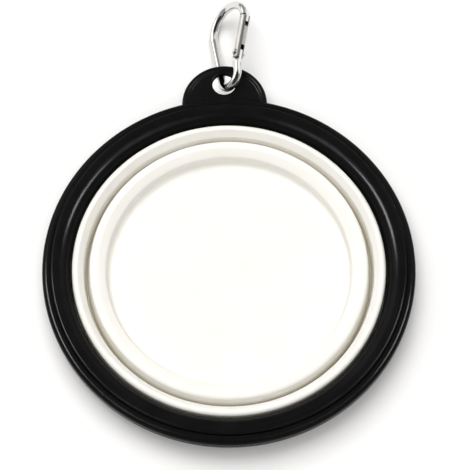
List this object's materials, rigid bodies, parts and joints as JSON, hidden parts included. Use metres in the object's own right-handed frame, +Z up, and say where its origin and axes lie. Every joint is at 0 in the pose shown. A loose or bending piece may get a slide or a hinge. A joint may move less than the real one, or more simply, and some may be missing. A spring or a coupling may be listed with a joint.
{
  "type": "collapsible bowl",
  "caption": "Round silicone travel bowl that folds flat in concentric tiers, with a rigid rim, a hanging tab and a sprung snap hook.",
  "frame": {"origin": "centre of the flat underside of the base, which stands on the table", "axes": "+Z up out of the bowl, +Y from the bowl's centre to the hanging tab, +X to the right with the tab at the back"},
  "size_m": [0.13, 0.1711, 0.0182],
  "materials": {
    "frame_black": "satin black moulded plastic",
    "band_black": "smooth black soft rubber",
    "silicone_white": "smooth white silicone",
    "hook_metal": "polished nickel plate",
    "rivet_steel": "plain steel",
    "spring_steel": "spring wire",
    "plunger_brass": "turned brass"
  },
  "bodies": {
    "base": {"base_cup": "silicone_white"},
    "middle": {"middle_ring": "silicone_white", "lower_fold": "silicone_white"},
    "rim": {"rim_frame": "frame_black", "rim_band": "band_black", "upper_fold": "silicone_white"},
    "hook": {"hook_body": "hook_metal", "pivot_rivet": "rivet_steel"},
    "gate": {"hook_gate": "hook_metal", "latch_pin": "rivet_steel", "gate_spring": "spring_steel"},
    "plunger": {"spring_plunger": "plunger_brass"}
  },
  "joints": [
    {"name": "lower_stage", "type": "slide", "parent": "base", "child": "middle", "axis": [0, 0, 1], "range_m": [0, 0.0114], "deforming": ["lower_fold"]},
    {"name": "upper_stage", "type": "slide", "parent": "middle", "child": "rim", "axis": [0, 0, 1], "range_m": [0, 0.0132], "deforming": ["upper_fold"]},
    {"name": "hook_swivel", "type": "hinge", "parent": "rim", "child": "hook", "pos_m": [0, 0.0714, 0.0096], "axis": [0, 0, 1], "range_deg": [-40, 60]},
    {"name": "gate_pivot", "type": "hinge", "parent": "hook", "child": "gate", "pos_m": [0.00552, 0.08179, 0.0139], "axis": [-0.7805, 0.0522, 0.6229], "range_deg": [0, 30], "stiffness_Nm_per_rad": 0.02, "springref_deg": -34.38},
    {"name": "plunger_slide", "type": "slide", "parent": "gate", "child": "plunger", "axis": [0.195, 0.9671, 0.1633], "range_m": [0, 0.00045], "deforming": ["gate_spring"]}
  ],
  "couplings": [
    {"joint": "plunger_slide", "follows": "gate_pivot", "m_per_rad": 0.00078}
  ]
}
